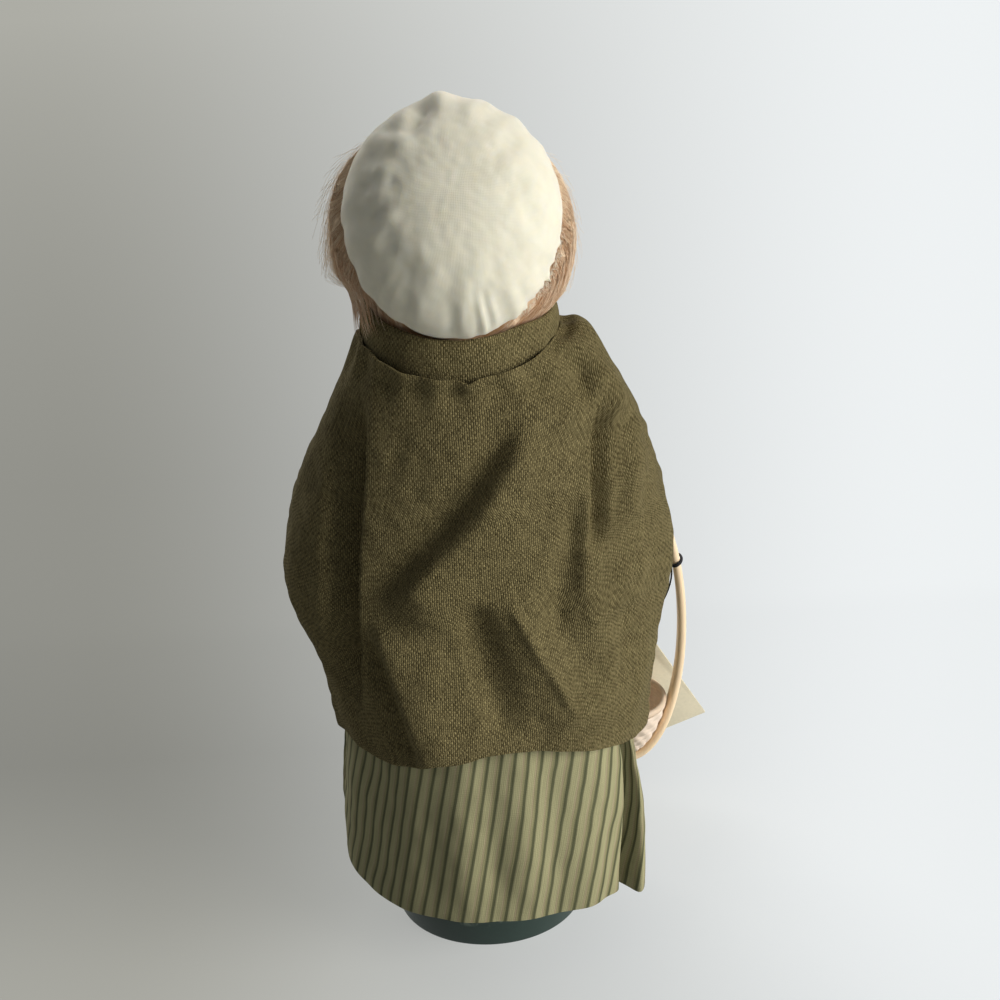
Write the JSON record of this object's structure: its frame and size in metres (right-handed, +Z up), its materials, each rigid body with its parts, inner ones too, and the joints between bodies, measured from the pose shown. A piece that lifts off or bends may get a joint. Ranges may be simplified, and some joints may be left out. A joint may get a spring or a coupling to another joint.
{
  "type": "caroler figurine",
  "caption": "Standing dressed caroler doll on a round base, with a striped skirt, a draped wool cape, a gathered cap and a small cane basket hung on one arm.",
  "frame": {"origin": "centre of the underside of the round base", "axes": "+Z up; the figure faces -Y, its left hand is at +X and its back is at +Y"},
  "size_m": [0.1698, 0.1421, 0.329],
  "materials": {
    "base_paint": "satin paint",
    "wire": "drawn wire",
    "felt": "matt felt",
    "paper": "wound paper",
    "clay": "matt painted clay",
    "mohair": "silky strands",
    "cotton": "matt cloth",
    "wool": "woven wool",
    "ticking": "striped woven cloth",
    "bodice_cloth": "matt cloth",
    "cane": "smooth split cane",
    "splint": "woven splint",
    "thread": "twisted thread",
    "card": "matt card"
  },
  "bodies": {
    "figure": {"base": "base_paint", "left_leg_wire": "wire", "right_leg_wire": "wire", "left_boot": "felt", "right_boot": "felt", "left_leg": "paper", "right_leg": "paper", "body_core": "paper", "left_arm_wire": "wire", "right_arm_wire": "wire", "left_sleeve": "wool", "right_sleeve": "wool", "left_mitten": "felt", "right_mitten": "felt", "neck_wire": "wire", "bodice": "bodice_cloth", "skirt": "ticking", "cape": "wool", "collar": "wool"},
    "head": {"head": "clay", "hair": "mohair", "cap": "cotton"},
    "basket": {"basket_handle": "cane", "basket_bowl": "splint", "basket_rim": "cane", "tag_loop": "thread"},
    "tag": {"tag_card": "card", "tag_thread": "thread"}
  },
  "joints": [
    {"name": "head_turn", "type": "hinge", "parent": "figure", "child": "head", "pos_m": [0, 0, 0.25], "axis": [0, 0, 1], "range_deg": [-15, 15]},
    {"name": "basket_swing", "type": "hinge", "parent": "figure", "child": "basket", "pos_m": [-0.062, -0.048, 0.1499], "axis": [0, 1, 0], "range_deg": [-5, 30]},
    {"name": "tag_swing", "type": "hinge", "parent": "basket", "child": "tag", "pos_m": [-0.0831, -0.0529, 0.1231], "axis": [-1, 0, 0], "range_deg": [0, 30]}
  ]
}
